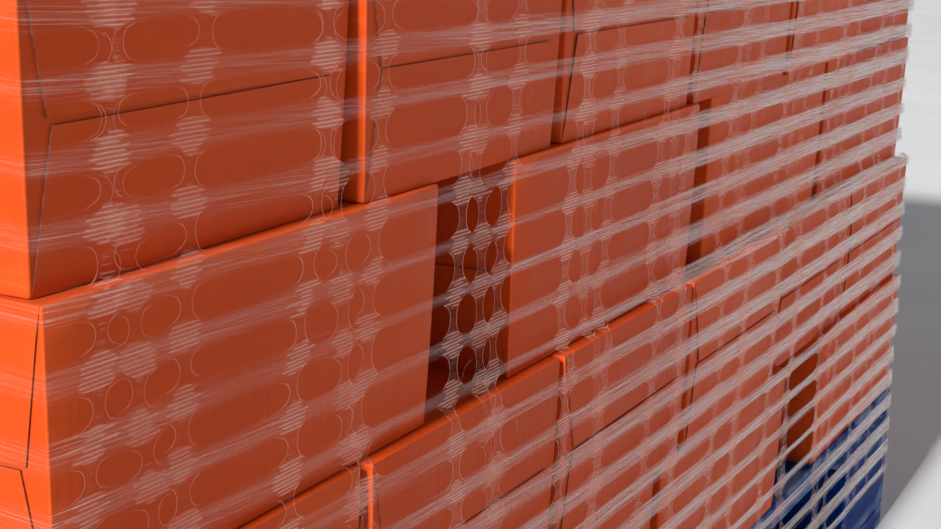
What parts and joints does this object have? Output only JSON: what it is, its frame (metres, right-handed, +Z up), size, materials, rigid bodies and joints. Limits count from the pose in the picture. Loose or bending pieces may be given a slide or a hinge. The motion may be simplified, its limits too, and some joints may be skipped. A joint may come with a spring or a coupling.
{
  "type": "stretch wrapped pallet load of cartons",
  "caption": "Courses of glossy orange-red cartons on a blue wooden block pallet, held together by bands of clear vented stretch film.",
  "frame": {"origin": "on the floor, under the middle of the box round the whole load", "axes": "+X along the pallet's long side, +Y from the long side in the picture towards the back, +Z up"},
  "size_m": [1.2024, 0.8114, 1.0756],
  "materials": {
    "painted_wood": "worn blue paint on sawn softwood",
    "carton_board": "glossy coated orange-red board",
    "stretch_film": "clear stretched film with bright rims round its vents"
  },
  "bodies": {
    "root": {"deck_board_1": "painted_wood", "deck_board_2": "painted_wood", "deck_board_3": "painted_wood", "deck_board_4": "painted_wood", "deck_board_5": "painted_wood", "cross_board_1": "painted_wood", "cross_board_2": "painted_wood", "cross_board_3": "painted_wood", "skid_board_1": "painted_wood", "skid_board_2": "painted_wood", "skid_board_3": "painted_wood", "pallet_block_1_1": "painted_wood", "pallet_block_1_2": "painted_wood", "pallet_block_1_3": "painted_wood", "pallet_block_2_1": "painted_wood", "pallet_block_2_2": "painted_wood", "pallet_block_2_3": "painted_wood", "pallet_block_3_1": "painted_wood", "pallet_block_3_2": "painted_wood", "pallet_block_3_3": "painted_wood", "carton_course_1": "carton_board", "carton_course_2": "carton_board", "carton_course_3": "carton_board", "carton_course_4": "carton_board", "carton_course_5": "carton_board", "carton_course_6": "carton_board", "carton_course_7": "carton_board", "carton_course_8": "carton_board", "stretch_film": "stretch_film"}
  },
  "joints": []
}
